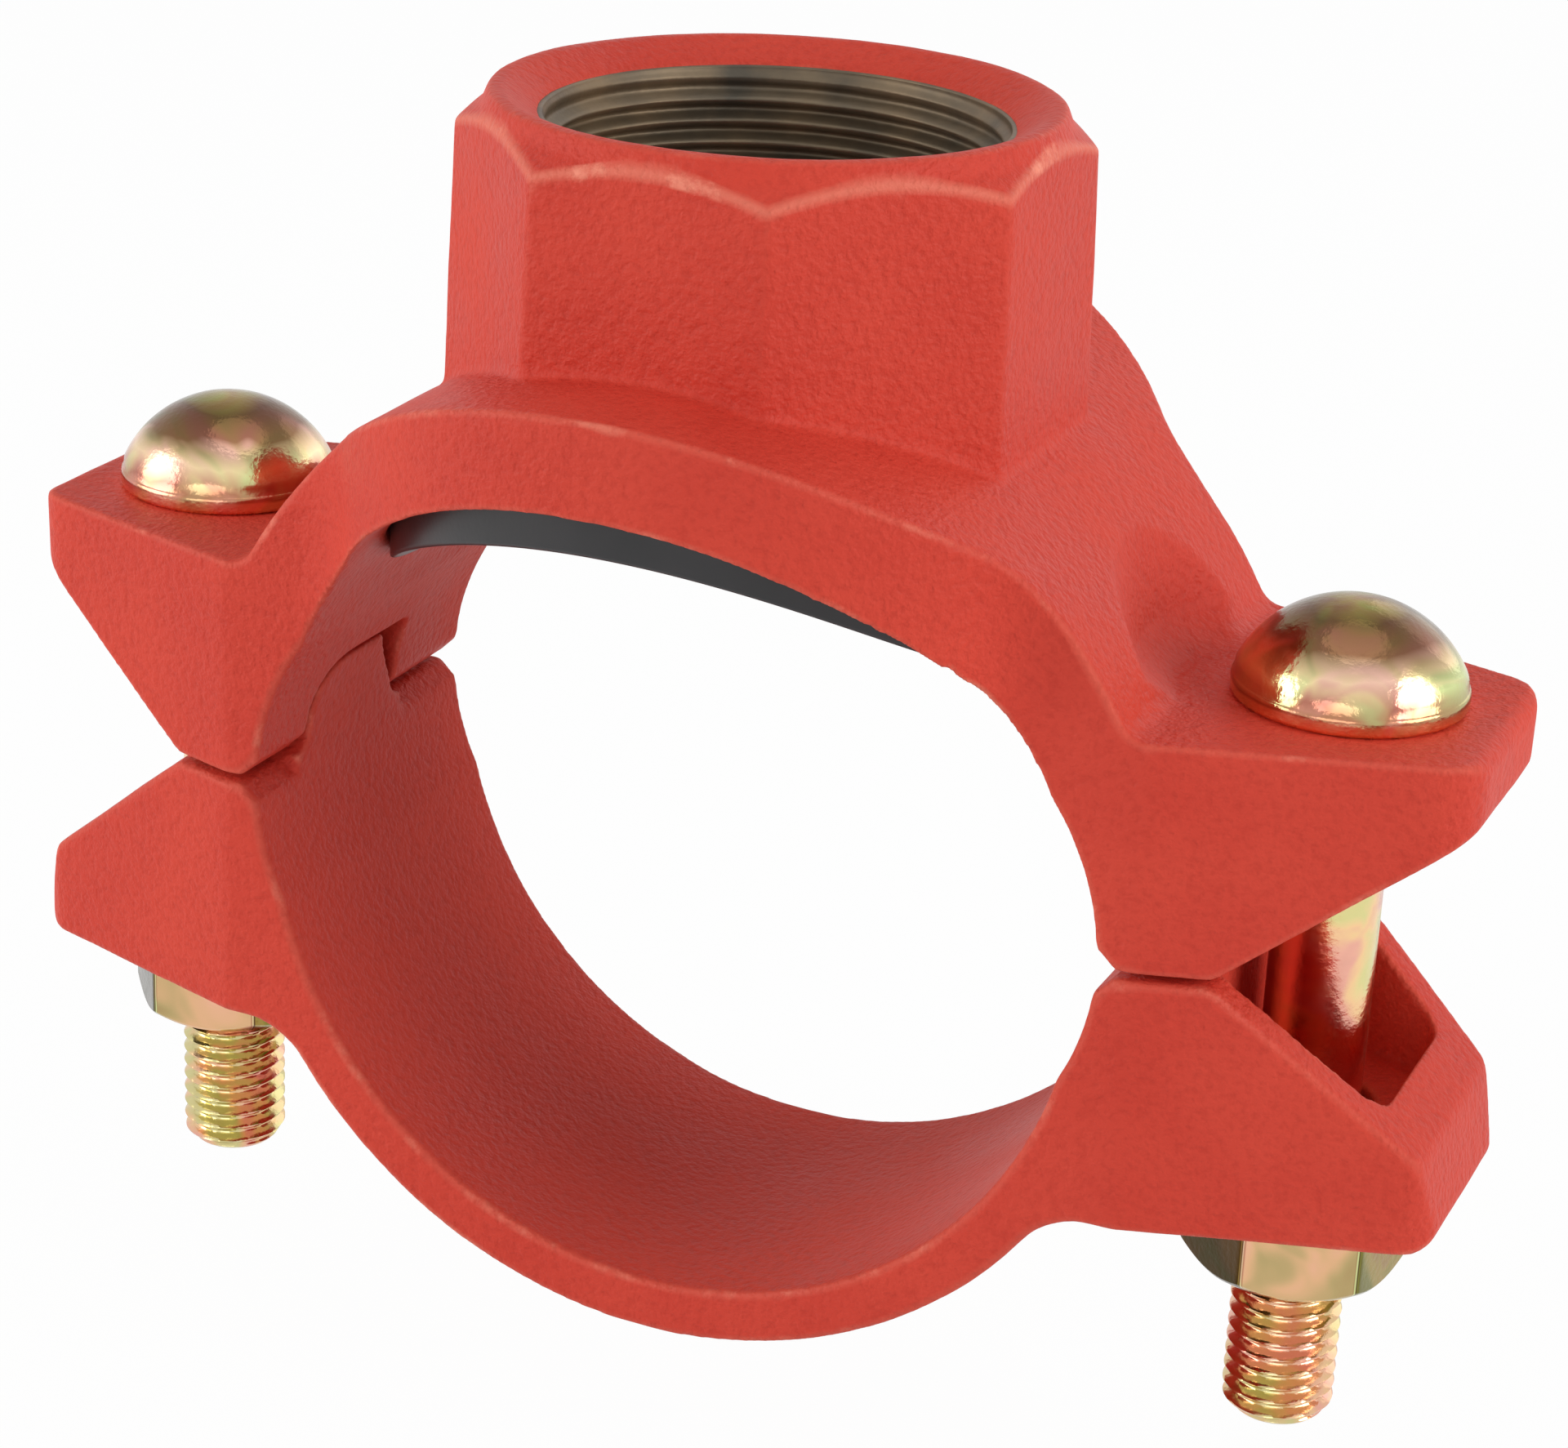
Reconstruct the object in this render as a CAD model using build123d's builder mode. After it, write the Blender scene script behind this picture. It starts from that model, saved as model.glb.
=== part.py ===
from build123d import *
from math import asin, cos, pi, radians, sin, sqrt, tan
import os

os.makedirs("parts", exist_ok=True)

# Mechanical tee: an upper casting with a threaded outlet and a lower strap, bolted round a run pipe.
# Frame: origin on the run pipe's axis under the outlet, X across the bolts, Y along the run, Z up the outlet.

# ---- run pipe side
bore_radius = 46.4            # cast bore of both housings
split_rise = 1.6              # the split lies this far above the run axis
split_gap = 0.4               # half the gap between the two castings, before the bolts are pulled up
relief_depth = 1.8            # the bore widens this much at the split
relief_radius = 28.0
relief_chamfer = 2.0          # inner edges of the castings at the split
relief_angle = 45.0
saddle_wall = 10.0            # upper casting, over the pipe
strap_wall = 6.0              # lower casting, under the pipe
saddle_plan_radius = 44.2     # the saddle is round in plan, about the outlet
half_width = 23.0             # both castings, at the split

# ---- bolt ears
bolt_half_span = 65.2
taper_reach = 13.2            # the ears narrow from here, inward of the bolt
ear_reach = 17.0              # upper ear's end, beyond the bolt
strap_reach = 17.9            # strap ear's end, beyond the bolt
strap_end_lean = 2.4          # the strap ear's end leans out downwards
ear_tip_half_width = 13.2
ear_tip_radius = 6.0          # upright corners of the ear tips
foot_reach = 5.7              # the castings meet from the bore out to here, inward of the bolt
ear_seat = 26.6               # flat under the bolt heads
ear_end_height = 7.4          # upright end of the upper ears
strap_seat = 26.6             # flat under the strap ears, below the axis
strap_end_height = 10.4       # upright end of the strap ears
ear_wall = 4.2                # wall along the pockets
pocket_inward = 7.6           # inner end of the pockets, from the bolt
pocket_outward = 10.6         # outer end of the pockets, from the bolt
pocket_radius = 2.5
pocket_end_radius = 4.0
upper_floor = 7.5             # metal left under the bolt heads
strap_floor = 8.5             # metal left over the nuts
hip_radius = 11.0             # hollow corner between saddle and ears, in plan
shoulder_radius = 3.0         # hollow corner between shoulder and ear seat
cove_radius = 20.8            # room for the bolt heads, cut in the shoulders
cove_draft = 18.0             # degrees
cove_foot = 3.0               # bevel at the foot of the coves
strap_hip_radius = 9.0        # hollow corner between strap and ears
corner_radius = 2.0           # outer corners of the ears, seen along the run

# ---- tongue and notch at the split
tongue_front = 11.4
tongue_back = 7.2
tongue_height = 9.6
tongue_root = 3.2             # carried down into the strap
tongue_depth = 5.6            # into the wall from the bore
tongue_radius = 6.0           # round leading shoulder
tongue_slant = 4.6            # the trailing flank leans forward by this
tongue_foot_radius = 2.4
tongue_clearance = 0.45

# ---- outlet
outlet_top = 79.4
outlet_sides = 8
outlet_flats = 62.4           # across flats at its foot
outlet_draft = 1.5            # degrees
outlet_crown_drop = 2.0       # the crowned top falls this far at the octagon's corners
bead_radius = 29.4            # round bead that stands on the crowned top
bead_height = 2.1
bead_land = 1.4               # flat top of the bead, inside which the mouth is dished
bead_inset = 0.15             # foot of the bead, inward of the octagon's flats
mouth_drop = 2.4              # the tapped hole starts this far below the bead
thread_minor_radius = 22.43   # 1 1/2 pipe thread, 11 to the inch
thread_mouth_radius = 24.0
thread_depth = 23.0
mouth_angle = 45.0
waterway_radius = 20.4
waterway_lead = 2.0           # cone between thread and waterway
collar_wall = 3.2             # locating collar that drops into the hole in the run pipe
collar_reach = 37.0           # lower end of the collar

# ---- gasket
gasket_outer_radius = 38.9
gasket_inner_radius = 27.0
gasket_clearance = 0.3
gasket_roof_radius = 50.6     # top of the gasket groove, round the run axis
gasket_face_radius = 54.0     # sealing face, moulded flatter than the pipe
gasket_crown = 40.8           # top of the arch of the sealing face
gasket_lip_depth = 1.2        # groove in the sealing face, between its two lips
gasket_lip_width = 3.2

# ---- M12 round-head bolts and heavy nuts
thread_radius = 6.0
bolt_length = 81.8            # under the head
head_radius = 12.0
head_rim = 2.2
head_height = 10.4
dome_bands = 5                # the dome is turned in this many straight bands
neck_length = 17.0            # oval neck, along X
neck_width = 12.6
neck_depth = 6.0
neck_clearance = 0.4
bolt_end_chamfer = 1.2
bolt_hole_radius = 7.0
nut_sides = 6
nut_flats = 21.0
nut_height = 10.4
nut_running = 0.05            # radial clearance of the nut on the thread
nut_crown = 1.3
nut_turns = {"left": 12.0, "right": 20.0}   # degrees, how the nuts happen to stand
seat_clearance = 0.02         # film between a flat and what is drawn up to it

overrun = 1.0                 # cutters start and stop this far outside the metal
near = 0.01                   # corners are picked within this

saddle_radius = bore_radius + saddle_wall
strap_radius = bore_radius + strap_wall
upper_split = split_rise + split_gap
lower_split = split_rise - split_gap
taper_start = bolt_half_span - taper_reach
ear_tip = bolt_half_span + ear_reach
strap_tip = bolt_half_span + strap_reach
ear_foot = bolt_half_span - foot_reach
pocket_inner = bolt_half_span - pocket_inward
pocket_outer = bolt_half_span + pocket_outward
relief_offset = bore_radius + relief_depth - relief_radius
outlet_corner = outlet_flats / 2 / cos(pi / outlet_sides)
collar_radius = waterway_radius + collar_wall
nut_corner = nut_flats / 2 / cos(pi / nut_sides)


# Half width of the ears in plan at a distance from the outlet, set in by a wall.
def ear_half_width(x, inset=0.0):
    run = ear_tip - taper_start
    fall = half_width - ear_tip_half_width
    return half_width - fall * max(x - taper_start, 0) / run - inset * sqrt(run**2 + fall**2) / run


# Plan of a casting: tapered ears, and for the upper one a round saddle between them.
def plan_sketch(tip, with_saddle):
    at_tip = ear_half_width(tip)
    with BuildSketch() as plan:
        with BuildLine():
            Polyline(
                (-tip, -at_tip), (-taper_start, -half_width), (taper_start, -half_width), (tip, -at_tip),
                (tip, at_tip), (taper_start, half_width), (-taper_start, half_width), (-tip, at_tip),
                close=True,
            )
        make_face()
        fillet(plan.vertices().filter_by(lambda v: abs(abs(v.X) - tip) < near), radius=ear_tip_radius)
        if with_saddle:
            Circle(saddle_plan_radius)
            waist = sqrt(saddle_plan_radius**2 - half_width**2)
            fillet(plan.vertices().filter_by(lambda v: abs(abs(v.X) - waist) < near), radius=hip_radius)
    return plan.sketch


# Plan of the pocket in the right-hand ear.
def pocket_sketch():
    at_inner = ear_half_width(pocket_inner, ear_wall)
    at_outer = ear_half_width(pocket_outer, ear_wall)
    with BuildSketch() as plan:
        with BuildLine():
            Polyline(
                (pocket_inner, -at_inner), (pocket_outer, -at_outer), (pocket_outer, at_outer),
                (pocket_inner, at_inner), close=True,
            )
        make_face()
        fillet(plan.vertices().filter_by(lambda v: v.X < bolt_half_span), radius=pocket_radius)
        fillet(plan.vertices().filter_by(lambda v: abs(v.X - pocket_outer) < near), radius=pocket_end_radius)
    return plan.sketch


# The bore seen along the run: round, and eased outwards at the split.
def bore_sketch():
    with BuildSketch(Plane.XZ) as bore:
        Circle(bore_radius)
        with Locations((-relief_offset, split_rise), (relief_offset, split_rise)):
            Circle(relief_radius)
    return bore.sketch


# Square bars seen on edge: they bevel the inner edges of both castings at the split.
def bevel_sketch():
    with BuildSketch(Plane.XZ) as bevel:
        with Locations((-bore_radius - relief_depth, split_rise), (bore_radius + relief_depth, split_rise)):
            bar = sqrt(2) * (relief_chamfer + split_gap)
            Rectangle(bar, bar, rotation=relief_angle)
    return bevel.sketch


# The tongue seen from the bore, height over the split; with a clearance it is the notch for it.
def tongue_sketch(clearance, slant):
    front = tongue_front + clearance
    back = tongue_back + clearance
    top = tongue_height + clearance
    lead = tongue_radius + clearance
    foot = tongue_foot_radius - clearance
    with BuildSketch(Plane.YZ.offset(-bore_radius - tongue_depth)) as side:
        with BuildLine():
            Line((-front - foot, -tongue_root), (-front - foot, 0))
            RadiusArc((-front - foot, 0), (-front, foot), -foot)
            Line((-front, foot), (-front, top - lead))
            RadiusArc((-front, top - lead), (-front + lead, top), lead)
            Line((-front + lead, top), (back - slant, top))
            Line((back - slant, top), (back, foot))
            RadiusArc((back, foot), (back + foot, 0), -foot)
            Line((back + foot, 0), (back + foot, -tongue_root))
            Line((back + foot, -tongue_root), (-front - foot, -tongue_root))
        make_face()
    return side.sketch


# ---------------------------------------------------------------- upper casting
with BuildPart() as outlet_housing:
    # seen along the run: a thick arch with an ear on each side
    with BuildSketch(Plane.XZ) as elevation:
        with BuildLine():
            Polyline(
                (-ear_foot, upper_split), (ear_foot, upper_split), (ear_tip, ear_seat - ear_end_height),
                (ear_tip, ear_seat), (-ear_tip, ear_seat), (-ear_tip, ear_seat - ear_end_height), close=True,
            )
        make_face()
        fillet(elevation.vertices(), radius=corner_radius)
        Circle(saddle_radius)
        with Locations((0, upper_split - saddle_radius)):
            Rectangle(4 * saddle_radius, 2 * saddle_radius, mode=Mode.SUBTRACT)
        shoulder = sqrt(saddle_radius**2 - ear_seat**2)
        fillet(
            elevation.vertices().filter_by(
                lambda v: abs(abs(v.X) - shoulder) < near and abs(v.Y - ear_seat) < near
            ),
            radius=shoulder_radius,
        )
    extrude(amount=saddle_plan_radius + overrun, both=True)
    with BuildSketch(Plane.XY) as plan:
        add(plan_sketch(ear_tip, True))
    extrude(amount=outlet_top, mode=Mode.INTERSECT)

    # coves round the bolt heads: drafted, and bevelled at the foot
    with BuildSketch(Plane.XZ) as cove:
        cove_top = cove_radius + (saddle_radius - ear_seat) * tan(radians(cove_draft))
        with BuildLine():
            Polyline(
                (0, ear_seat), (cove_radius, ear_seat), (cove_top, saddle_radius), (0, saddle_radius), close=True
            )
        make_face()
        chamfer(cove.vertices().filter_by(lambda v: abs(v.X - cove_radius) < near), length=cove_foot)
    scoop = revolve(axis=Axis.Z, mode=Mode.PRIVATE)
    for side in (-1, 1):
        add(scoop.moved(Location((side * bolt_half_span, 0, 0))), mode=Mode.SUBTRACT)

    # octagonal outlet with draft; a cone crowns it, and a round bead stands on the crown
    with BuildSketch(Plane.XY.offset(bore_radius)) as octagon:
        RegularPolygon(outlet_corner, outlet_sides, rotation=180 / outlet_sides)
    extrude(amount=outlet_top - bore_radius, taper=outlet_draft)
    with BuildSketch(Plane.XZ) as crown:
        bead_foot = outlet_top - bead_height
        foot_radius = outlet_flats / 2 - (bead_foot - bore_radius) * tan(radians(outlet_draft)) - bead_inset
        fall = saddle_radius * outlet_crown_drop / (outlet_corner - outlet_flats / 2)
        with BuildLine():
            Polyline(
                (bead_radius, outlet_top), (foot_radius, bead_foot),
                (foot_radius + saddle_radius, bead_foot - fall),
                (foot_radius + saddle_radius, outlet_top + overrun), (bead_radius, outlet_top + overrun), close=True,
            )
        make_face()
    revolve(axis=Axis.Z, mode=Mode.SUBTRACT)

    # run bore
    with BuildSketch(Plane.XZ) as bore:
        add(bore_sketch())
        add(bevel_sketch())
    extrude(amount=saddle_plan_radius + overrun, both=True, mode=Mode.SUBTRACT)

    # gasket groove, from the bore up into the arch
    with BuildSketch(Plane.XZ) as roof:
        Circle(gasket_roof_radius)
    groove_roof = extrude(amount=saddle_plan_radius, both=True, mode=Mode.PRIVATE)
    with BuildSketch(Plane.XY) as groove:
        Circle(gasket_outer_radius + gasket_clearance)
        Circle(collar_radius, mode=Mode.SUBTRACT)
    ring = extrude(amount=gasket_roof_radius + overrun, mode=Mode.PRIVATE)
    add(ring & groove_roof, mode=Mode.SUBTRACT)

    # locating collar, waterway and tapped hole
    with BuildSketch(Plane.XY.offset(collar_reach)) as collar:
        Circle(collar_radius)
    extrude(amount=saddle_radius - collar_reach)
    with BuildSketch(Plane.XZ) as passage:
        with BuildLine():
            lip = (thread_mouth_radius - thread_minor_radius) / tan(radians(mouth_angle))
            mouth = outlet_top - mouth_drop
            thread_end = mouth - thread_depth
            Polyline(
                (0, 0), (waterway_radius, 0), (waterway_radius, thread_end - waterway_lead),
                (thread_minor_radius, thread_end), (thread_minor_radius, mouth - lip),
                (thread_mouth_radius, mouth), (bead_radius - bead_land, outlet_top),
                (bead_radius - bead_land, outlet_top + overrun), (0, outlet_top + overrun), close=True,
            )
        make_face()
    revolve(axis=Axis.Z, mode=Mode.SUBTRACT)

    # ear pockets, open downwards, and oval holes for the bolt necks
    for turn in (0, 180):
        with BuildSketch(Plane.XY.rotated((0, 0, turn)).offset(upper_split - overrun)) as pocket:
            add(pocket_sketch())
        extrude(amount=ear_seat - upper_floor - upper_split + overrun, mode=Mode.SUBTRACT)
        with BuildSketch(Plane.XY.rotated((0, 0, turn))) as hole:
            with Locations((bolt_half_span, 0)):
                SlotOverall(neck_length + 2 * neck_clearance, neck_width + 2 * neck_clearance)
        extrude(amount=ear_seat + overrun, mode=Mode.SUBTRACT)

    # notches for the tongues of the strap
    for turn in (0, 180):
        notch = extrude(tongue_sketch(tongue_clearance, 0), amount=2 * tongue_depth, mode=Mode.PRIVATE)
        add(notch.moved(Location((0, 0, split_rise))).rotate(Axis.Z, turn), mode=Mode.SUBTRACT)

outlet_housing.part.label = "outlet_housing"
export_step(outlet_housing.part, "parts/outlet_housing.step")

# ---------------------------------------------------------------- strap
with BuildPart() as strap_housing:
    # seen along the run: a band with an ear on each side
    with BuildSketch(Plane.XZ) as elevation:
        with BuildLine():
            Polyline(
                (-ear_foot, lower_split), (ear_foot, lower_split),
                (strap_tip - strap_end_lean, strap_end_height - strap_seat), (strap_tip, -strap_seat),
                (-strap_tip, -strap_seat), (strap_end_lean - strap_tip, strap_end_height - strap_seat), close=True,
            )
        make_face()
        fillet(elevation.vertices(), radius=corner_radius)
        Circle(strap_radius)
        with Locations((0, lower_split + strap_radius)):
            Rectangle(4 * strap_radius, 2 * strap_radius, mode=Mode.SUBTRACT)
        hip = sqrt(strap_radius**2 - strap_seat**2)
        fillet(
            elevation.vertices().filter_by(
                lambda v: abs(abs(v.X) - hip) < near and abs(v.Y + strap_seat) < near
            ),
            radius=strap_hip_radius,
        )
    extrude(amount=saddle_plan_radius, both=True)
    with BuildSketch(Plane.XY.offset(-strap_radius - overrun)) as plan:
        add(plan_sketch(strap_tip, False))
    extrude(amount=strap_radius + overrun + lower_split, mode=Mode.INTERSECT)

    # run bore
    with BuildSketch(Plane.XZ) as bore:
        add(bore_sketch())
        add(bevel_sketch())
    extrude(amount=saddle_plan_radius + overrun, both=True, mode=Mode.SUBTRACT)

    # open pockets and round holes in the ears
    for turn in (0, 180):
        with BuildSketch(Plane.XY.rotated((0, 0, turn)).offset(strap_floor - strap_seat)) as pocket:
            add(pocket_sketch())
        extrude(amount=strap_seat, mode=Mode.SUBTRACT)
        with BuildSketch(Plane.XY.rotated((0, 0, turn)).offset(-strap_seat - overrun)) as hole:
            with Locations((bolt_half_span, 0)):
                Circle(bolt_hole_radius)
        extrude(amount=strap_floor + 2 * overrun, mode=Mode.SUBTRACT)

    # tongues that enter the upper casting, flush with the bore
    for turn in (0, 180):
        tongue = extrude(tongue_sketch(0, tongue_slant), amount=2 * tongue_depth, mode=Mode.PRIVATE)
        add(tongue.moved(Location((0, 0, split_rise))).rotate(Axis.Z, turn))
    with BuildSketch(Plane.XZ) as keep:
        add(bore_sketch())
    extrude(amount=saddle_plan_radius, both=True, mode=Mode.SUBTRACT)

strap_housing.part.label = "strap_housing"
export_step(strap_housing.part, "parts/strap_housing.step")

# ---------------------------------------------------------------- gasket
with BuildPart() as gasket:
    with BuildSketch(Plane.XY) as ring_plan:
        Circle(gasket_outer_radius)
        Circle(gasket_inner_radius, mode=Mode.SUBTRACT)
    extrude(amount=gasket_roof_radius)
    with BuildSketch(Plane.XZ) as roof:
        Circle(gasket_roof_radius - seat_clearance)
    extrude(amount=gasket_outer_radius + overrun, both=True, mode=Mode.INTERSECT)
    with BuildSketch(Plane.XZ) as face:
        with Locations((0, gasket_crown - gasket_face_radius)):
            Circle(gasket_face_radius)
    extrude(amount=gasket_outer_radius + overrun, both=True, mode=Mode.SUBTRACT)
    # moat between the outer lip and the inner lip
    with BuildSketch(Plane.XY) as between:
        Circle(gasket_outer_radius - gasket_lip_width)
        Circle(gasket_inner_radius + gasket_lip_width, mode=Mode.SUBTRACT)
    moat = extrude(amount=gasket_roof_radius, mode=Mode.PRIVATE)
    with BuildSketch(Plane.XZ) as moat_roof:
        with Locations((0, gasket_crown - gasket_face_radius)):
            Circle(gasket_face_radius + gasket_lip_depth)
    add(moat & extrude(amount=gasket_outer_radius, both=True, mode=Mode.PRIVATE), mode=Mode.SUBTRACT)

gasket.part.label = "gasket"
export_step(gasket.part, "parts/gasket.step")

# ---------------------------------------------------------------- bolts and nuts
for name, side in (("left", -1), ("right", 1)):
    with BuildPart() as bolt:
        head_base = ear_seat + seat_clearance
        bolt_end = head_base - bolt_length
        rise = head_height - head_rim
        ball = (head_radius**2 + rise**2) / (2 * rise)
        tilts = [asin(head_radius / ball) * (1 - band / dome_bands) for band in range(dome_bands + 1)]
        dome = [(ball * sin(tilt), head_base + head_height - ball * (1 - cos(tilt))) for tilt in tilts]
        with BuildSketch(Plane.XZ) as profile:
            with BuildLine():
                Polyline(
                    *dome, (0, bolt_end), (thread_radius - bolt_end_chamfer, bolt_end),
                    (thread_radius, bolt_end + bolt_end_chamfer), (thread_radius, head_base),
                    (head_radius, head_base), close=True,
                )
            make_face()
        revolve(axis=Axis.Z)
        with BuildSketch(Plane.XY.offset(head_base - neck_depth)) as neck:
            SlotOverall(neck_length, neck_width)
        extrude(amount=neck_depth)
    placed = bolt.part.moved(Location((side * bolt_half_span, 0, 0)))
    placed.label = "bolt_" + name
    export_step(placed, "parts/bolt_" + name + ".step")

    with BuildPart() as nut:
        nut_top = -strap_seat - seat_clearance
        nut_foot = nut_top - nut_height
        with BuildSketch(Plane.XY.offset(nut_foot)) as hexagon:
            RegularPolygon(nut_corner, nut_sides, rotation=nut_turns[name])
            Circle(thread_radius + nut_running, mode=Mode.SUBTRACT)
        extrude(amount=nut_height)
        # the outer face is crowned by a cone
        with BuildSketch(Plane.XZ) as crowns:
            with BuildLine():
                Polyline(
                    (0, nut_top), (nut_corner + overrun, nut_top), (nut_corner + overrun, nut_foot + nut_crown),
                    (nut_corner, nut_foot + nut_crown), (nut_flats / 2, nut_foot), (0, nut_foot), close=True,
                )
            make_face()
        revolve(axis=Axis.Z, mode=Mode.INTERSECT)
    placed = nut.part.moved(Location((side * bolt_half_span, 0, 0)))
    placed.label = "nut_" + name
    export_step(placed, "parts/nut_" + name + ".step")
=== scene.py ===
from math import cos, pi, radians, sin, tan
import bmesh
import bpy
import numpy as np
from mathutils import Matrix, Vector


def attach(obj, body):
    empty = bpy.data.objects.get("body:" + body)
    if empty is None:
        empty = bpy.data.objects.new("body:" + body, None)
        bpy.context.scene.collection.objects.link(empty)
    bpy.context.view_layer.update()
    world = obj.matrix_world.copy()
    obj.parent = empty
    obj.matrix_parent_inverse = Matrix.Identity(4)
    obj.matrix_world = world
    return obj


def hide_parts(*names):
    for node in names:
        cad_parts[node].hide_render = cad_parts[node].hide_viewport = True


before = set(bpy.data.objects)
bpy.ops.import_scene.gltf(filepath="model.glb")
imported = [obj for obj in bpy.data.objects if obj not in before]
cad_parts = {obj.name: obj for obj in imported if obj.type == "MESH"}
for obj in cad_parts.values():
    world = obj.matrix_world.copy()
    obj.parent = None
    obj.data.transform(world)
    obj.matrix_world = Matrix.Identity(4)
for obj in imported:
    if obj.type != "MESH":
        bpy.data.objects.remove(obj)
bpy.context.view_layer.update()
mm = 0.001
print("frame loaded")


def putInScene(name, data):
    thing = bpy.data.objects.new(name, data)
    bpy.context.scene.collection.objects.link(thing)
    return thing


def readRows(items, key, width, kind=float):
    values = np.empty(len(items) * width, dtype=kind)
    items.foreach_get(key, values)
    return values.reshape(-1, width)


# Merges doubles, turns faces outwards and shades smooth.
def settle(name, mesh, join=2e-6):
    work = bmesh.new()
    work.from_mesh(mesh)
    bmesh.ops.remove_doubles(work, verts=work.verts, dist=join)
    bmesh.ops.dissolve_degenerate(work, edges=work.edges, dist=join / 2)
    bmesh.ops.recalc_face_normals(work, faces=work.faces)
    work.to_mesh(mesh)
    work.free()
    mesh.shade_smooth()
    return putInScene(name, mesh)


# Puts a grid of points into a mesh. The grid is closed round its columns; its rows may close too, or end in
# poles. Values given for the rows, or for every point, go into a point attribute that picks painted reflection
# colours.
def gridPiece(name, points, closeRows=False, bands=None, sharp=None):
    rows, columns = points.shape[:2]
    here = np.arange(rows * columns).reshape(rows, columns)
    beside = np.roll(here, -1, axis=1)
    if closeRows:
        below, across = np.roll(here, -1, axis=0), np.roll(beside, -1, axis=0)
        quads = np.stack([here, beside, across, below], axis=-1)
    else:
        quads = np.stack([here[:-1], beside[:-1], beside[1:], here[1:]], axis=-1)
    mesh = bpy.data.meshes.new(name)
    mesh.from_pydata(points.reshape(-1, 3), [], quads.reshape(-1, 4))
    if bands is not None:
        spread = np.broadcast_to(np.reshape(bands, (rows, -1)), (rows, columns))
        mesh.attributes.new("band", "FLOAT", "POINT").data.foreach_set("value", spread.ravel())
    piece = settle(name, mesh)
    if sharp:
        mesh.set_sharp_from_angle(angle=radians(sharp))
    return piece


# Smooth random values in space, between -1 and 1: random numbers on a lattice, blended between its corners by
# the curve 3t^2 - 2t^3 along each axis. The cell is in metres.
def lumps(points, cell, seed):
    low = points.min(axis=0) - cell
    scaled = (points - low) / cell
    count = np.ceil(scaled.max(axis=0)).astype(int) + 2
    lattice = np.random.default_rng(seed).uniform(-1, 1, count)
    base = np.floor(scaled).astype(int)
    part = scaled - base
    ease = part * part * (3 - 2 * part)
    total = np.zeros(len(points))
    for corner in np.ndindex(2, 2, 2):
        weight = np.prod(np.where(corner, ease, 1 - ease), axis=1)
        total += weight * lattice[tuple((base + corner).T)]
    return total


# Empties a node tree and returns a helper that adds a node, sets its inputs and links others in. An input is
# named as in the node editor, with _ for a space, or by its place, such as _0.
def nodeAdder(tree):
    tree.nodes.clear()

    def add(kind, settings=None, **inputs):
        node = tree.nodes.new("ShaderNode" + kind)
        for key, value in (settings or {}).items():
            setattr(node, key, value)
        for key, value in inputs.items():
            number = key[1:]
            socket = node.inputs[int(number) if number.isdigit() else key.replace("_", " ")]
            if isinstance(value, bpy.types.NodeSocket):
                tree.links.new(value, socket)
            else:
                socket.default_value = value
        return node

    return add


def newFinish(name):
    finish = bpy.data.materials.new(name)
    finish.use_nodes = True
    return finish, nodeAdder(finish.node_tree)


def noise(add, where, scale, detail, **more):
    return add("TexNoise", Vector=where, Scale=scale, Detail=detail, **more).outputs["Fac"]


def mapped(add, value, start, end, low=0.0, high=1.0):
    return add("MapRange", Value=value, From_Min=start, From_Max=end, To_Min=low, To_Max=high).outputs["Result"]


def mixed(add, share, first, second, blend="MIX"):
    settings = {"data_type": "RGBA", "blend_type": blend}
    return add("Mix", settings, Factor=share, _6=first, _7=second).outputs[2]


def ramp(add, source, stops):
    node = add("ValToRGB", Fac=source)
    elements = node.color_ramp.elements
    while len(elements) < len(stops):
        elements.new(0.5)
    for element, (place, colour) in zip(elements, stops):
        element.position = place
        element.color = (*colour, 1)
    return node.outputs["Color"]


def srgb(red, green, blue):
    values = np.array([red, green, blue]) / 255
    return tuple(np.where(values <= 0.04045, values / 12.92, ((values + 0.055) / 1.055) ** 2.4).tolist())


paint = {
    # The darker red is painted shade for hollows and pits; the pale red is worn paint and painted highlight
    # along edges.
    "body": (srgb(204, 64, 50), srgb(213, 73, 57)), "shadeRed": srgb(170, 42, 32), "thin": srgb(242, 146, 122),
    "specular": 0.15, "roughness": (0.44, 0.58),
    "cloudScale": 60.0, "peelScale": 1150.0, "grainScale": 2900.0, "chipScale": 95.0,
    "peelDepth": 0.33 * mm, "grainDepth": 0.08 * mm,
    "hollow": 0.6, "pitShade": 0.22,                          # how dark the painted shade in hollows and in the peel's pits gets
    "edgeHighlight": 0.2, "chip": 0.72, "crownHighlight": 0.28,    # how pale the painted highlight on edges, the worn chips and the painted highlight on the crown's arcs get
}
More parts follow.
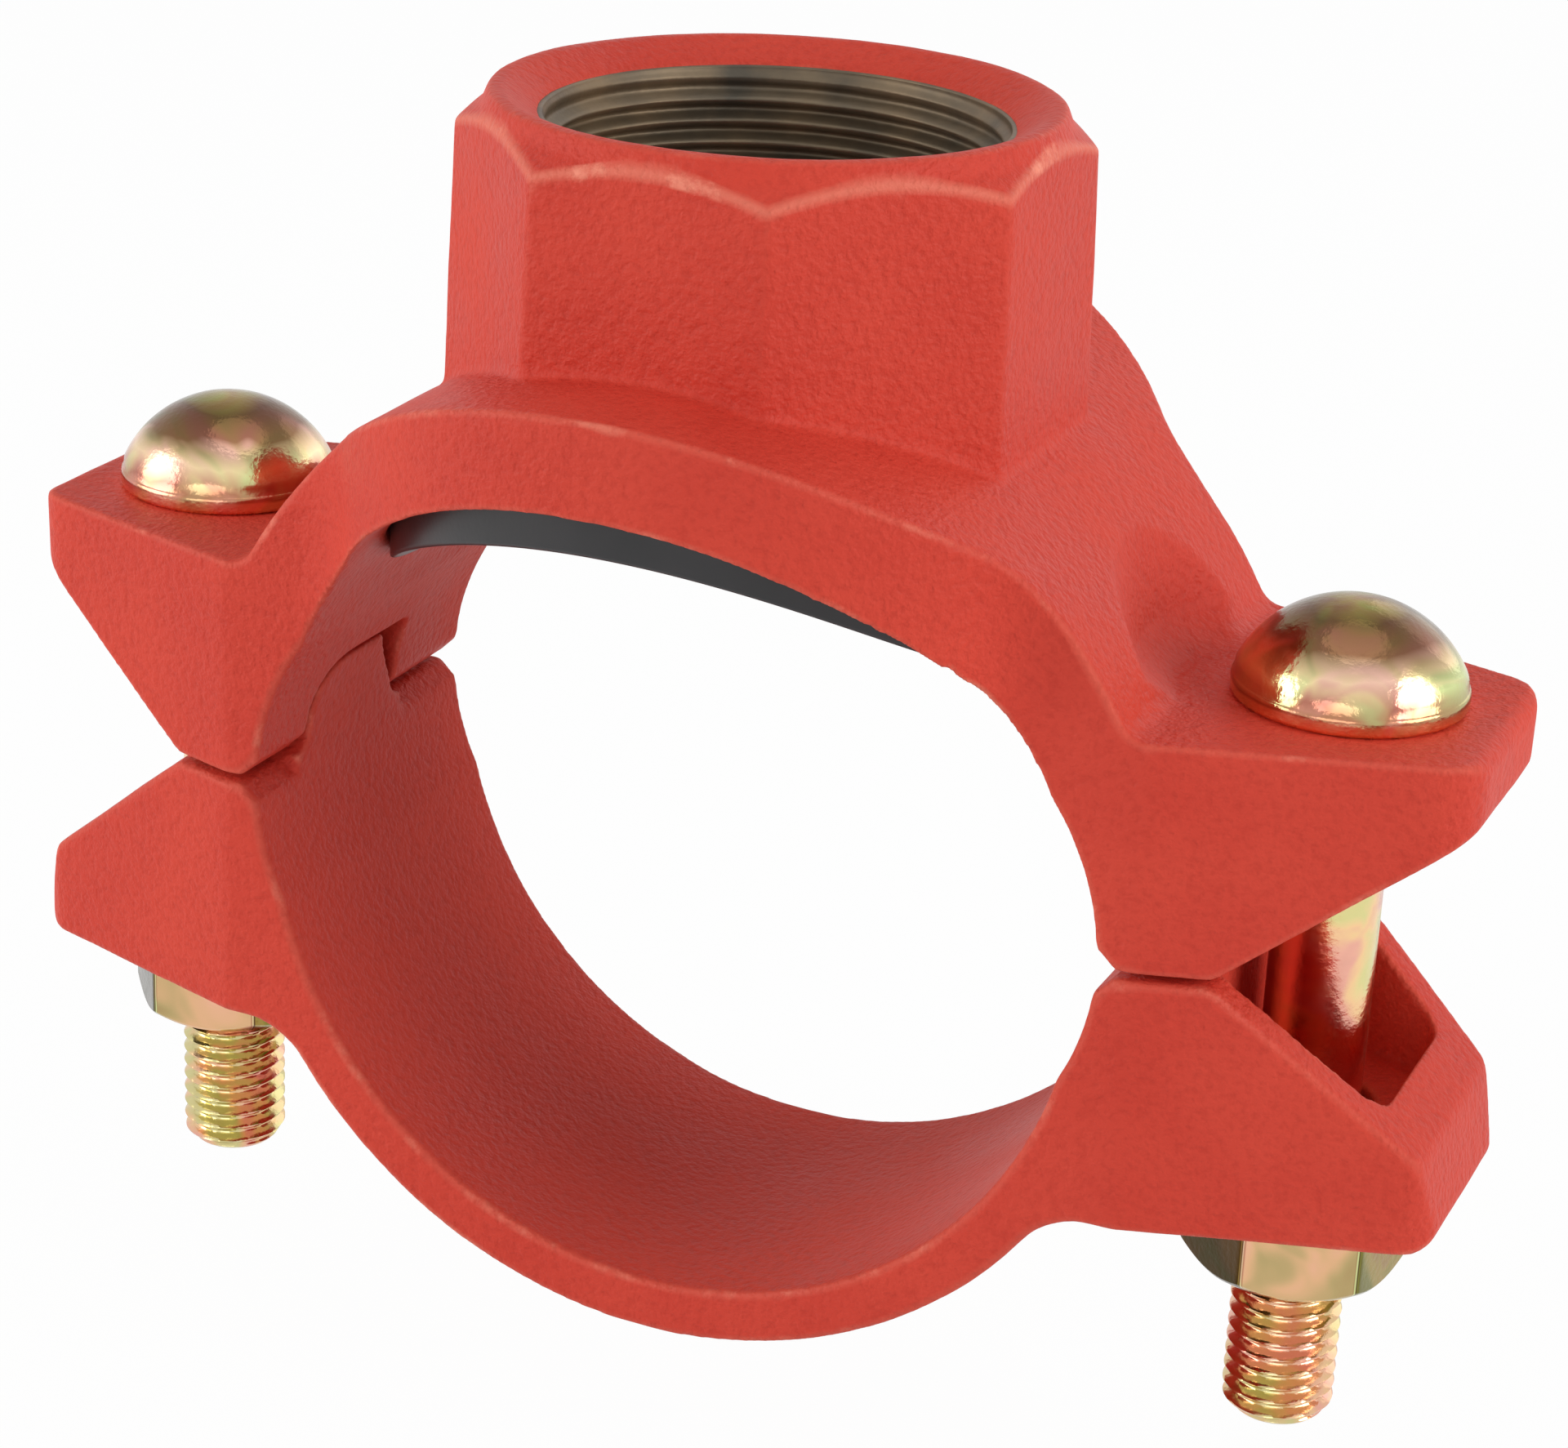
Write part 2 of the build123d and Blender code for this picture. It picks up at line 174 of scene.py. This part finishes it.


# Orange-peel paint over a sand-cast skin: a coarse and a fine bump, painted shade in hollows and in the peel's
# pits, and a pale painted highlight along the edges, paler as worn chips in the stretches where a coarse noise
# is high, and a painted highlight on the crown's arcs where the attribute edge is over 1.
def makePaint():
    finish, add = newFinish("red paint on casting")
    where = add("TexCoord").outputs["Object"]
    edge = add("Attribute", {"attribute_name": "edge"}).outputs["Fac"]
    cloud = noise(add, where, paint["cloudScale"], 3.0)
    peel = noise(add, where, paint["peelScale"], 2.5, Roughness=0.5)
    grain = noise(add, where, paint["grainScale"], 2.0)
    chips = noise(add, where, paint["chipScale"], 7.0, Roughness=0.7)
    shadeRed, thin = (*paint["shadeRed"], 1), (*paint["thin"], 1)
    body = ramp(add, cloud, [(0.3, paint["body"][0]), (0.7, paint["body"][1])])
    # Painted shade: the darker red in hollows and in the peel's pits.
    shaded = mixed(add, mapped(add, edge, -0.15, -0.8, high=paint["hollow"]), body, shadeRed)
    withPitShade = mixed(add, mapped(add, peel, 0.52, 0.32, high=paint["pitShade"]), shaded, shadeRed)
    # Pale along edges: a painted highlight, stronger where chips of worn paint lie, plus a painted highlight on
    # the crown's arcs.
    line = mapped(add, edge, 0.3, 0.9)
    highlightAndChips = mapped(add, chips, 0.545, 0.63, paint["edgeHighlight"], paint["chip"])
    crownArcHighlight = mapped(add, edge, 1.0, 2.0, high=paint["crownHighlight"])
    wearAndHighlight = add("Math", {"operation": "MULTIPLY_ADD"}, _0=line, _1=highlightAndChips, _2=crownArcHighlight).outputs[0]
    colour = mixed(add, wearAndHighlight, withPitShade, thin)
    rough = mapped(add, cloud, 0.3, 0.7, *paint["roughness"])
    under = add("Bump", Height=peel, Strength=1.0, Distance=paint["peelDepth"]).outputs["Normal"]
    over = add("Bump", Height=grain, Strength=1.0, Distance=paint["grainDepth"], Normal=under).outputs["Normal"]
    shader = add("BsdfPrincipled", Base_Color=colour, Roughness=rough, Normal=over,
                 Specular_IOR_Level=paint["specular"])
    add("OutputMaterial", Surface=shader.outputs["BSDF"])
    return finish


plating = {
    # Painted reflection colours along the ramp: dark olive crown, brown flank, a bright line and pink by the
    # rim, pale shank and thread.
    "bands": [(0.0, srgb(70, 54, 24)), (0.05, srgb(104, 86, 44)), (0.1, srgb(160, 146, 88)),
              (0.28, srgb(98, 78, 58)), (0.42, srgb(124, 98, 78)), (0.53, srgb(236, 226, 198)),
              (0.62, srgb(180, 134, 116)), (0.70, srgb(238, 204, 178)), (0.88, srgb(250, 222, 192)),
              (0.97, srgb(226, 196, 174))],
    "tint": (srgb(226, 250, 190), srgb(255, 238, 200), srgb(255, 208, 212)), "tinting": 0.85,
    "drift": 0.2,             # how far the film's clouds move the bands
    "roughness": (0.10, 0.25),
    "tintScale": 95.0, "cloudScale": 260.0, "grainScale": 1500.0, "grainDepth": 0.04 * mm,
}


# Passivated zinc with painted reflection: a point attribute picks colours from a dark crown over the flank to a
# bright rim and shank, as reflections of dark and bright surroundings, and tints of green and pink lie over it
# in clouds.
def makePlating():
    finish, add = newFinish("yellow zinc plating")
    where = add("TexCoord").outputs["Object"]
    band = add("Attribute", {"attribute_name": "band"}).outputs["Fac"]
    film = noise(add, where, plating["tintScale"], 2.0, Distortion=1.5)
    cloud = noise(add, where, plating["cloudScale"], 4.0)
    fine = noise(add, where, plating["grainScale"], 3.0)
    drift = plating["drift"]
    shift = add("Math", {"operation": "MULTIPLY_ADD"}, _0=film, _1=drift, _2=-drift / 2).outputs[0]
    place = add("Math", {"operation": "ADD"}, _0=band, _1=shift).outputs[0]
    base = ramp(add, place, plating["bands"])
    tint = ramp(add, film, list(zip((0.36, 0.5, 0.64), plating["tint"])))
    colour = mixed(add, plating["tinting"], base, tint, "MULTIPLY")
    rough = mapped(add, cloud, 0.3, 0.7, *plating["roughness"])
    bump = add("Bump", Height=fine, Strength=1.0, Distance=plating["grainDepth"]).outputs["Normal"]
    shader = add("BsdfPrincipled", Base_Color=colour, Metallic=1.0, Roughness=rough, Normal=bump)
    add("OutputMaterial", Surface=shader.outputs["BSDF"])
    return finish


rubber = {
    "colours": (srgb(24, 24, 26), srgb(40, 39, 41)), "metallic": 0.0, "roughness": 0.38,
    "cloudScale": 90.0, "cloudDetail": 4.0,
    "grainScale": 1500.0, "grainDetail": 2.0, "grainStrength": 0.1, "grainDepth": 0.2 * mm,
}
iron = {
    "colours": (srgb(76, 70, 60), srgb(124, 106, 82)), "metallic": 0.55, "roughness": 0.5,
    "cloudScale": 120.0, "cloudDetail": 5.0,
    "grainScale": 1100.0, "grainDetail": 3.0, "grainStrength": 0.18, "grainDepth": 0.3 * mm,
}


# Two colours in soft clouds, over a fine grain.
def makeMottled(name, look):
    finish, add = newFinish(name)
    where = add("TexCoord").outputs["Object"]
    cloud = noise(add, where, look["cloudScale"], look["cloudDetail"])
    colour = ramp(add, cloud, list(zip((0.3, 0.7), look["colours"])))
    fine = noise(add, where, look["grainScale"], look["grainDetail"])
    bump = add("Bump", Height=fine, Strength=look["grainStrength"], Distance=look["grainDepth"])
    shader = add("BsdfPrincipled", Base_Color=colour, Metallic=look["metallic"], Roughness=look["roughness"],
                 Normal=bump.outputs["Normal"])
    add("OutputMaterial", Surface=shader.outputs["BSDF"])
    return finish


redPaint, yellowZinc = makePaint(), makePlating()
blackRubber, cutIron = makeMottled("black moulded rubber", rubber), makeMottled("oiled cut iron", iron)
print("finishes made")


# Gives a piece its finish and body, and hides the CAD nodes that it stands for.
def dress(piece, finish, slotName, body, *nodes):
    piece.data.materials.clear()
    piece.data.materials.append(finish)
    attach(piece, body)
    if nodes:
        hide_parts(*nodes)
    return piece


casting = {
    "grid": 0.32 * mm,        # how finely the castings are remade
    "swell": 0.07 * mm, "swellCell": 8 * mm,
    "rough": 0.02 * mm, "roughCell": 2.4 * mm,
    "bend": 0.0275 * mm,      # the mean curvature's step that counts as a full edge
    "spreads": 6,             # times that the step is averaged with the points around
    "triangles": 190000,
    "holeRadius": 24.25 * mm, "holeFloor": 53.9 * mm,
}
crown = {
    "sides": 8, "flats": 62.4 * mm, "foot": 46.4 * mm, "draft": 1.5,
    "radius": 30.24 * mm, "height": 77.3 * mm, "slope": 0.778,
    "width": 0.65 * mm, "core": 0.3,    # half width of the painted highlight arcs, and the share of it at full strength
}


# The tapped hole is opened to one plain radius, so that the thread's own piece can line it.
def openHole(mesh):
    points = readRows(mesh.vertices, "co", 3)
    radius = np.hypot(points[:, 0], points[:, 1])
    inHole = (radius < casting["holeRadius"]) & (points[:, 2] > casting["holeFloor"])
    points[inHole, :2] *= (casting["holeRadius"] / radius[inHole])[:, None]
    mesh.vertices.foreach_set("co", points.ravel())


# Share of the crown's painted highlight arcs at each point: 1 where an octagon face meets the crown's cone,
# falling to 0 over the width. The face lies at flats / 2 - height * tan(draft), and the cone falls by the slope
# outside its radius.
def crownArcs(points):
    x, y, z = points.T
    angle = np.arange(crown["sides"]) * 2 * pi / crown["sides"]
    reach = (np.outer(x, np.cos(angle)) + np.outer(y, np.sin(angle))).max(axis=1)
    fromFace = reach - crown["flats"] / 2 + (z - crown["foot"]) * tan(radians(crown["draft"]))
    fromCone = z - crown["height"] + (np.hypot(x, y) - crown["radius"]) * crown["slope"]
    away = np.hypot(fromFace, fromCone / np.hypot(1, crown["slope"]))
    return np.clip(1 + crown["core"] - away / crown["width"], 0, 1)


# A copy of a CAD node remade on an even grid, its edges rounded by smoothing as sand casting rounds them.
def remade(name, node, rounding, prepare):
    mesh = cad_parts[node].data.copy()
    if prepare:
        prepare(mesh)
    rough = settle(name + "Rough", mesh)
    remesh = rough.modifiers.new("remesh", "REMESH")
    remesh.mode = "VOXEL"
    remesh.voxel_size = casting["grid"]
    smooth = rough.modifiers.new("smooth", "SMOOTH")
    smooth.factor = 0.5
    smooth.iterations = rounding
    skin = bpy.data.meshes.new_from_object(rough.evaluated_get(bpy.context.evaluated_depsgraph_get()))
    bpy.data.objects.remove(rough)
    skin.name = name
    return skin


# Mean curvature at each point, 1 on a full outer edge and -1 in a full hollow: how far the point stands out
# along its normal from the mean of the points around it, then averaged several times with theirs.
def edgeValues(points, normals, ends):
    count = len(points)

    def spread(values):
        total = np.zeros((count, values.shape[1]))
        number = np.zeros(count)
        for first, second in ((0, 1), (1, 0)):
            for axis in range(values.shape[1]):
                total[:, axis] += np.bincount(ends[:, first], values[ends[:, second], axis], count)
            number += np.bincount(ends[:, first], minlength=count)
        return total / number[:, None]

    bend = ((points - spread(points)) * normals).sum(axis=1)[:, None] / casting["bend"]
    for _ in range(casting["spreads"]):
        bend = (bend + spread(bend)) / 2
    return np.clip(bend[:, 0], -1, 1)


# A cast skin over a CAD node, pushed along its normals by lumps of two sizes. Its attribute edge holds the
# curvature, and up to 2 on the arcs that are given, where the paint puts a painted highlight.
def castSkin(name, node, seed, rounding, prepare=None, arcs=None):
    skin = remade(name, node, rounding, prepare)
    points, normals = readRows(skin.vertices, "co", 3), readRows(skin.vertices, "normal", 3)
    edge = edgeValues(points, normals, readRows(skin.edges, "vertices", 2, int))
    if arcs:
        edge = np.maximum(edge, 2 * arcs(points))
    push = casting["swell"] * lumps(points, casting["swellCell"], seed)
    push += casting["rough"] * lumps(points, casting["roughCell"], seed + 1)
    points += normals * push[:, None]
    skin.vertices.foreach_set("co", points.ravel())
    skin.attributes.new("edge", "FLOAT", "POINT").data.foreach_set("value", edge)
    whole = putInScene(name + "Whole", skin)
    thin = whole.modifiers.new("thin", "DECIMATE")
    thin.ratio = min(1, casting["triangles"] / (2 * len(skin.polygons)))
    light = bpy.data.meshes.new_from_object(whole.evaluated_get(bpy.context.evaluated_depsgraph_get()))
    bpy.data.objects.remove(whole)
    light.name = name
    light.shade_smooth()
    light.calc_loop_triangles()
    print(name, len(skin.polygons), "faces remade,", len(light.loop_triangles), "triangles kept")
    return putInScene(name, light)


upperCasting = castSkin("upperCasting", "outlet_housing", 11, 19, openHole, crownArcs)
dress(upperCasting, redPaint, "painted_casting", "tee", "outlet_housing")
lowerStrap = castSkin("lowerStrap", "strap_housing", 23, 26)
dress(lowerStrap, redPaint, "painted_casting", "strap", "strap_housing")
print("castings made")


outlet = {
    "top": 76.9 * mm, "foot": 53.5 * mm, "outer": 24.6 * mm,
    "root": 23.92 * mm, "crest": 22.45 * mm, "pitch": 2.309 * mm, "lead": 3.2 * mm,
    "around": 192, "perTurn": 12,
}


# A thread's rise over its root, 0 to 1: a triangle wave of the turn number, flattened at crest and root.
def ridge(turns):
    wave = 1 - np.abs(2 * (turns % 1) - 1)
    return np.clip((wave - 0.2) / 0.7, 0, 1)


# Sleeve that lines the tapped hole: its radius falls from root to crest by the ridge of
# height / pitch - angle / turn, faded in over the lead at the mouth, and a plain outer wall closes it.
def outletThread():
    angle = np.linspace(0, 2 * pi, outlet["around"], endpoint=False)
    height = np.arange(outlet["top"], outlet["foot"], -outlet["pitch"] / outlet["perTurn"])
    below = (outlet["top"] - height)[:, None]
    turns = height[:, None] / outlet["pitch"] - angle[None, :] / (2 * pi)
    depth = outlet["root"] - outlet["crest"]
    thread = outlet["root"] - depth * ridge(turns) * np.clip(below / outlet["lead"], 0, 1)
    walls = np.full((2, len(angle)), outlet["outer"])
    radius = np.vstack([thread, walls])
    heights = np.concatenate([height, [height[-1], outlet["top"]]])[:, None] + 0 * radius
    points = np.stack([radius * np.cos(angle), radius * np.sin(angle), heights], axis=-1)
    return gridPiece("outletThread", points, closeRows=True)


dress(outletThread(), cutIron, "painted_casting", "tee")


gasket = {
    "outer": 38.9 * mm, "inner": 27.0 * mm, "roof": 50.57 * mm, "face": 54.0 * mm, "crown": 40.8 * mm,
    "lip": 3.2 * mm, "moat": 1.2 * mm, "round": 0.7 * mm, "around": 256,
}


# Ring whose top follows a cylinder about the run and whose sealing face follows a flatter one. The section is a
# closed loop of (radius, share of height, offset): over the roof, down the inside, across two lips with a
# moat between them, and up the outside.
def saddleGasket():
    edge, lip, moat = gasket["round"], gasket["lip"], gasket["moat"]
    outer, inner = gasket["outer"], gasket["inner"]
    loop = []

    def corner(radius, share, start):
        up = -edge if share else edge
        for turn in np.radians(np.linspace(start, start + 90, 6)):
            loop.append((radius + edge * cos(turn), share, up + edge * sin(turn)))

    corner(outer - edge, 1, 0)
    corner(inner + edge, 1, 90)
    corner(inner + edge, 0, 180)
    middle, half = (outer + inner) / 2, (outer - inner) / 2 - lip
    for turn in np.radians(np.linspace(0, 180, 9)):
        loop.append((middle - half * cos(turn), 0, moat * sin(turn) ** 0.5))
    corner(outer - edge, 0, 270)
    rho, share, offset = np.array(loop).T
    angle = np.linspace(0, 2 * pi, gasket["around"], endpoint=False)
    x, y = rho[:, None] * np.cos(angle), rho[:, None] * np.sin(angle)
    roof = np.sqrt(gasket["roof"] ** 2 - x ** 2)
    face = gasket["crown"] - gasket["face"] + np.sqrt(gasket["face"] ** 2 - x ** 2)
    z = np.where(share[:, None] == 1, roof, face) + offset[:, None]
    return gridPiece("saddleGasket", np.stack([x, y, z], axis=-1), closeRows=True)


dress(saddleGasket(), blackRubber, "gasket_rubber", "tee", "gasket")
print("thread and gasket made")


bolt = {
    "span": 65.2 * mm, "seat": 26.62 * mm, "length": 81.8 * mm,
    "headRadius": 12.0 * mm, "headHeight": 10.4 * mm, "rim": 2.2 * mm, "edge": 0.6 * mm, "domeInset": 0.35 * mm,
    "neckLength": 17.0 * mm, "neckWidth": 12.6 * mm, "neckDepth": 6.0 * mm,
    "shank": 5.5 * mm, "flare": 0.6 * mm,
    "crest": 5.95 * mm, "root": 4.9 * mm, "pitch": 1.75 * mm, "threaded": 36 * mm, "runOut": 2,
    "chamfer": 1.3 * mm, "endDish": 0.02 * mm, "endRadius": 1.5 * mm,
    "around": 96, "perTurn": 10, "domeRows": 26, "edgeRows": 5, "sharp": 50,
    # Places on the painted reflection ramp for each part of the bolt.
    "bands": {"crown": 0.1, "flank": 0.6, "rim": 0.62, "shank": 0.88, "thread": (0.9, 1.0)},
}


# Bolt as rings of (height, radius by angle, painted reflection band): a dome on a ball, a rim, an oval neck
# given by the polar form of a slot, a plain shank, and a thread whose radius follows the ridge of height / pitch
# - angle / turn.
def boltPiece(name, side):
    angle = np.linspace(0, 2 * pi, bolt["around"], endpoint=False)
    bands = bolt["bands"]
    rings = []

    def ring(height, radius, band=bands["shank"]):
        height = np.reshape(height, (-1, 1))
        shape = (len(height), len(angle))
        radius = np.broadcast_to(np.reshape(radius, (len(height), -1)), shape)
        band = np.broadcast_to(np.reshape(band, (-1, 1)), shape)
        rings.append((np.broadcast_to(height, shape), radius, band))

    seat, rim, edge, wide = bolt["seat"], bolt["rim"], bolt["edge"], bolt["headRadius"]
    rise = bolt["headHeight"] - rim
    ball = (wide ** 2 + rise ** 2) / (2 * rise)
    tilt = np.linspace(0, np.arcsin((wide - bolt["domeInset"]) / ball), bolt["domeRows"])
    # Painted reflection runs from the dark crown down the dome's flank.
    flank = bands["crown"] + (bands["flank"] - bands["crown"]) * tilt / tilt[-1]
    ring(seat + bolt["headHeight"] - ball + ball * np.cos(tilt), ball * np.sin(tilt), flank)
    turn = np.radians(np.linspace(60, 0, bolt["edgeRows"]))
    ring(seat + rim - edge + edge * np.sin(turn), wide - edge + edge * np.cos(turn), bands["rim"])
    turn = np.radians(np.linspace(0, -90, bolt["edgeRows"]))
    ring(seat + edge + edge * np.sin(turn), wide - edge + edge * np.cos(turn))

    half, reach = (bolt["neckLength"] - bolt["neckWidth"]) / 2, bolt["neckWidth"] / 2
    sine, cosine = np.abs(np.sin(angle)), np.abs(np.cos(angle))
    flat = reach / np.maximum(sine, 1e-9)
    endArc = half * cosine + np.sqrt(np.maximum(reach ** 2 - (half * sine) ** 2, 0))
    neck = np.where(flat * cosine <= half, flat, endArc)
    ring(seat, neck)
    ring(seat - bolt["neckDepth"] + edge, neck)
    ring(seat - bolt["neckDepth"], neck - edge)
    ring(seat - bolt["neckDepth"] - 1 * mm, bolt["shank"] + bolt["flare"])
    ring(seat - bolt["neckDepth"] - 2 * mm, bolt["shank"])

    end = seat - bolt["length"]
    start = end + bolt["threaded"]
    height = np.arange(start, end, -bolt["pitch"] / bolt["perTurn"])[:, None]
    fade = np.clip((start - height) / (bolt["runOut"] * bolt["pitch"]), 0, 1)
    turns = height / bolt["pitch"] - angle / (2 * pi)
    cut = (bolt["crest"] - bolt["root"]) * (1 - ridge(turns)) * fade
    outside = bolt["shank"] + (bolt["crest"] - bolt["shank"]) * fade
    tip = bolt["crest"] - np.maximum(bolt["chamfer"] - (height - end), 0)
    first, last = bands["thread"]
    ring(height, np.minimum(outside - cut, tip), first + (last - first) * fade)
    ring(end, bolt["crest"] - bolt["chamfer"])
    ring([end - bolt["endDish"]] * 2, [bolt["endRadius"], 0])

    height, radius, band = (np.vstack(part) for part in zip(*rings))
    x = side * bolt["span"] + radius * np.cos(angle)
    points = np.stack([x, radius * np.sin(angle), height], axis=-1)
    return gridPiece(name, points, bands=band, sharp=bolt["sharp"])


nut = {
    "top": -26.62 * mm, "height": 10.4 * mm, "flats": 21.0 * mm, "crown": 1.3 * mm, "edge": 0.35 * mm,
    "cornerEase": 0.25 * mm, "faceDip": 0.02 * mm, "bore": 6.05 * mm, "lead": 0.9 * mm,
    "around": 240, "turn": {"left": 12.0, "right": 20.0}, "sharp": 22,
    # Each nut face takes a lit or dark place on the painted reflection ramp, and its corners a bright painted
    # highlight.
    "facetReflections": (0.70, 0.86, 0.76, 0.0, 0.68, 0.10), "corner": 0.54, "highlightFrom": 29,
}


# Hexagon in polar form, flat / cos(angle from the flat's middle), with its corners eased; both ends are crowned
# where the radius passes the flat, and the bore has a lead at each end.
def nutPiece(name, side, turn):
    angle = np.linspace(0, 2 * pi, nut["around"], endpoint=False)
    flat = nut["flats"] / 2
    corner = flat / cos(pi / 6)
    sector = (angle % (pi / 3)) - pi / 6
    outline = np.minimum(flat / np.cos(sector), corner - nut["cornerEase"])
    fall = nut["crown"] * np.clip((outline - flat) / (corner - flat), 0, 1)
    edge, dip, lead, bore = nut["edge"], nut["faceDip"], nut["lead"], nut["bore"]
    top, foot = nut["top"], nut["top"] - nut["height"]
    rows = [
        (top - lead, bore), (top, bore + lead), (top, flat - edge),
        (top - fall - dip, outline - edge * 0.7), (top - fall - edge, outline),
        (foot + fall + edge, outline), (foot + fall + dip, outline - edge * 0.7),
        (foot, flat - edge), (foot, bore + lead), (foot + lead, bore),
    ]
    ones = np.ones_like(angle)
    height, radius = (np.array([value * ones for value in part]) for part in zip(*rows))
    turned = angle + radians(turn)
    x = side * bolt["span"] + radius * np.cos(turned)
    points = np.stack([x, radius * np.sin(turned), height], axis=-1)
    # Painted reflection per face, and a painted highlight line near each corner.
    facetReflection = np.array(nut["facetReflections"])[(angle // (pi / 3)).astype(int)]
    facetReflection = np.where(np.abs(sector) > radians(nut["highlightFrom"]), nut["corner"], facetReflection)
    return gridPiece(name, points, closeRows=True, bands=np.tile(facetReflection, (len(rows), 1)), sharp=nut["sharp"])


for name, side in (("left", -1), ("right", 1)):
    dress(boltPiece("bolt" + name.title(), side), yellowZinc, "passivated_zinc", "tee", "bolt_" + name)
    hexagon = nutPiece("nut" + name.title(), side, nut["turn"][name])
    dress(hexagon, yellowZinc, "passivated_zinc", "nut_" + name, "nut_" + name)
print("bolts and nuts made")


studio = {
    "floor": -70.9 * mm,      # clear of the strap at the end of its slide
    "floorSize": 6.0, "floorColour": srgb(235, 235, 235),
    "floorWhite": 0.975,      # share of plain white in what the camera sees of the floor
    "worldStrength": 0.22, "worldColour": (0.96, 0.97, 1.0),
}


# 1 for what is seen by the camera, in gloss or through glass, and 0 for light that falls on the part.
def seenRays(add):
    rays = add("LightPath").outputs
    seen = add("Math", {"operation": "MAXIMUM"}, _0=rays["Is Camera Ray"], _1=rays["Is Glossy Ray"]).outputs[0]
    return add("Math", {"operation": "MAXIMUM"}, _0=seen, _1=rays["Is Transmission Ray"]).outputs[0]


def makeFloor():
    finish, add = newFinish("pale floor")
    part = add("Math", {"operation": "MULTIPLY"}, _0=seenRays(add), _1=studio["floorWhite"]).outputs[0]
    matt = add("BsdfDiffuse", Color=(*studio["floorColour"], 1)).outputs[0]
    white = add("Emission", Color=(1, 1, 1, 1), Strength=1.0).outputs[0]
    add("OutputMaterial", Surface=add("MixShader", Fac=part, _1=matt, _2=white).outputs[0])
    half = studio["floorSize"] / 2
    mesh = bpy.data.meshes.new("floor")
    corners = [(-half, -half), (half, -half), (half, half), (-half, half)]
    mesh.from_pydata([(x, y, studio["floor"]) for x, y in corners], [], [(0, 1, 2, 3)])
    mesh.materials.append(finish)
    putInScene("floor", mesh)


def makeWorld():
    world = bpy.data.worlds.new("studio")
    bpy.context.scene.world = world
    world.use_nodes = True
    add = nodeAdder(world.node_tree)
    dim = add("Background", Color=(*studio["worldColour"], 1), Strength=studio["worldStrength"]).outputs[0]
    white = add("Background", Color=(1, 1, 1, 1), Strength=1.0).outputs[0]
    add("OutputWorld", Surface=add("MixShader", Fac=seenRays(add), _1=dim, _2=white).outputs[0])


lamps = {
    "keyLeft": {"place": (-0.70, -0.45, 0.25), "size": 0.7, "watts": 4.3, "colour": (1.0, 0.97, 0.93)},
    "sideRight": {"place": (1.0, -0.05, 0.4), "size": 0.8, "watts": 7.1, "colour": (1.0, 0.97, 0.93)},
    "frontSoft": {"place": (0.1, -1.2, 0.25), "size": 0.9, "watts": 3.1, "colour": (1.0, 1.0, 1.0)},
    "backSoft": {"place": (0.3, 1.1, 0.45), "size": 0.9, "watts": 1.2, "colour": (1.0, 1.0, 1.0)},
    "topSoft": {"place": (0.05, 0.1, 1.1), "size": 0.9, "watts": 1.8, "colour": (1.0, 1.0, 1.0)},
}


# Round soft lamps that face the middle of the part.
def makeLamps():
    middle = Vector((0, 0, 0.01))
    for name, look in lamps.items():
        data = bpy.data.lights.new(name, "AREA")
        data.shape = "DISK"
        data.size = look["size"]
        data.energy = look["watts"]
        data.color = look["colour"]
        lamp = putInScene(name, data)
        lamp.location = look["place"]
        lamp.rotation_mode = "QUATERNION"
        lamp.rotation_quaternion = (Vector(look["place"]) - middle).to_track_quat("Z", "Y")


view = {
    "azimuth": 23.41, "elevation": 21.87, "roll": 2.53, "distance": 0.4239, "aim": (0.00054, 0.0, 0.00891),
    "lens": 90.117, "shiftX": 0.01856, "shiftY": 0.00915,
}


# The camera looks from an azimuth and elevation at the aim, turned about its own axis by the roll.
def makeCamera():
    azimuth, elevation, roll = (radians(view[key]) for key in ("azimuth", "elevation", "roll"))
    back = Vector((sin(azimuth) * cos(elevation), -cos(azimuth) * cos(elevation), sin(elevation)))
    level = Vector((cos(azimuth), sin(azimuth), 0))
    upright = back.cross(level)
    right = level * cos(roll) + upright * sin(roll)
    up = upright * cos(roll) - level * sin(roll)
    data = bpy.data.cameras.new("camera")
    data.sensor_width = 36
    data.lens = view["lens"]
    data.shift_x = view["shiftX"]
    data.shift_y = view["shiftY"]
    data.clip_start = 0.01
    data.clip_end = 20
    camera = putInScene("camera", data)
    turn = Matrix((right, up, back)).transposed().to_4x4()
    camera.matrix_world = Matrix.Translation(Vector(view["aim"]) + back * view["distance"]) @ turn
    bpy.context.scene.camera = camera


makeFloor()
makeWorld()
makeLamps()
makeCamera()
bpy.context.scene.view_settings.view_transform = "Standard"
print("studio made")
